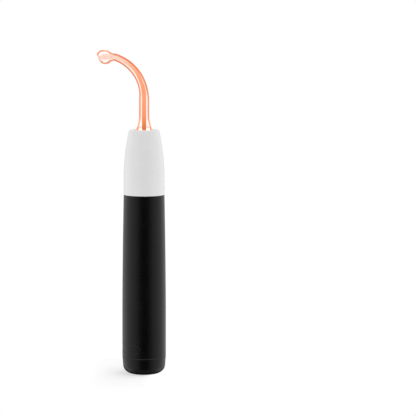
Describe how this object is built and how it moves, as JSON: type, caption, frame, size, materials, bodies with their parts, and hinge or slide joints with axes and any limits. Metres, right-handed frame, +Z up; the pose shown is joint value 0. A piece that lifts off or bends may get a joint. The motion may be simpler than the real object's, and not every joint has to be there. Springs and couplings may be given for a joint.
{
  "type": "high frequency wand",
  "caption": "Cordless high frequency wand: tapered handle with a pill button, a turning foot dial, a pale nose, and a bent glass electrode with a round head.",
  "frame": {"origin": "centre of the foot, on the axis of the handle, on the surface that the wand stands on", "axes": "+Z up along the handle, -Y to the front, and the electrode bends towards -X"},
  "size_m": [0.0518, 0.0328, 0.2432],
  "materials": {
    "handle_black": "fine satin moulding",
    "nose_white": "satin",
    "electrode_glass": "clear blown glass with an orange glow",
    "nickel_steel": "plain nickel plate",
    "contact_brass": "plain",
    "winding_copper": "enamelled wire",
    "sink_aluminium": "drawn",
    "cell_wrap": "shrink sleeve",
    "core_ferrite": "sintered",
    "grip_rubber": "soft milky silicone",
    "insulator_white": "plain",
    "chassis_grey": "plain moulding",
    "board_green": "solder mask",
    "chip_black": "moulded package",
    "sleeve_tan": "insulating film",
    "capacitor_blue": "shrink sleeve",
    "lead_red": "silicone lead",
    "plunger_red": "plain",
    "lens_clear": "clear"
  },
  "bodies": {
    "handle": {"handle_barrel": "handle_black", "nose_cone": "nose_white", "potentiometer_body": "board_green", "potentiometer_nut": "nickel_steel", "tact_switch": "chip_black", "switch_board": "board_green", "chassis_frame": "chassis_grey", "chassis_screw_1": "nickel_steel", "chassis_screw_2": "nickel_steel", "main_board": "board_green", "board_screw_1": "nickel_steel", "board_screw_2": "nickel_steel", "board_screw_3": "nickel_steel", "board_screw_4": "nickel_steel", "charger_chip": "chip_black", "controller_chip": "chip_black", "filter_inductor": "core_ferrite", "capacitor_1": "capacitor_blue", "capacitor_2": "capacitor_blue", "driver_transistor": "chip_black", "heat_sink": "sink_aluminium", "charge_port": "nickel_steel", "status_led": "insulator_white", "led_lens": "lens_clear", "battery_cell": "cell_wrap", "battery_spring": "nickel_steel", "battery_contact": "nickel_steel", "coil_former": "insulator_white", "primary_winding": "winding_copper", "secondary_winding_1": "winding_copper", "secondary_winding_2": "winding_copper", "secondary_winding_3": "winding_copper", "secondary_winding_4": "winding_copper", "ferrite_core": "core_ferrite", "coil_sleeve": "sleeve_tan", "hv_lead": "lead_red", "electrode_socket": "insulator_white", "contact_clip": "contact_brass"},
    "dial": {"intensity_dial": "handle_black", "potentiometer_shaft": "nickel_steel"},
    "button": {"power_button": "handle_black", "switch_plunger": "plunger_red"},
    "grip": {"grip_ring": "grip_rubber"},
    "electrode": {"electrode_glass": "electrode_glass", "electrode_cap": "nickel_steel", "lead_in_wire": "nickel_steel"}
  },
  "joints": [
    {"name": "dial_turn", "type": "hinge", "parent": "handle", "child": "dial", "pos_m": [0, 0, 0.008], "axis": [0, 0, -1], "range_deg": [0, 270]},
    {"name": "button_press", "type": "slide", "parent": "handle", "child": "button", "axis": [0.788, 0.6157, 0], "range_m": [0, 0.0008], "stiffness_N_per_m": 2000, "springref_m": -0.0004},
    {"name": "electrode_turn", "type": "hinge", "parent": "handle", "child": "grip", "pos_m": [0, 0, 0.18], "axis": [0, 0, 1], "continuous": true},
    {"name": "electrode_pull", "type": "slide", "parent": "grip", "child": "electrode", "axis": [0, 0, 1], "range_m": [0, 0.032]}
  ]
}
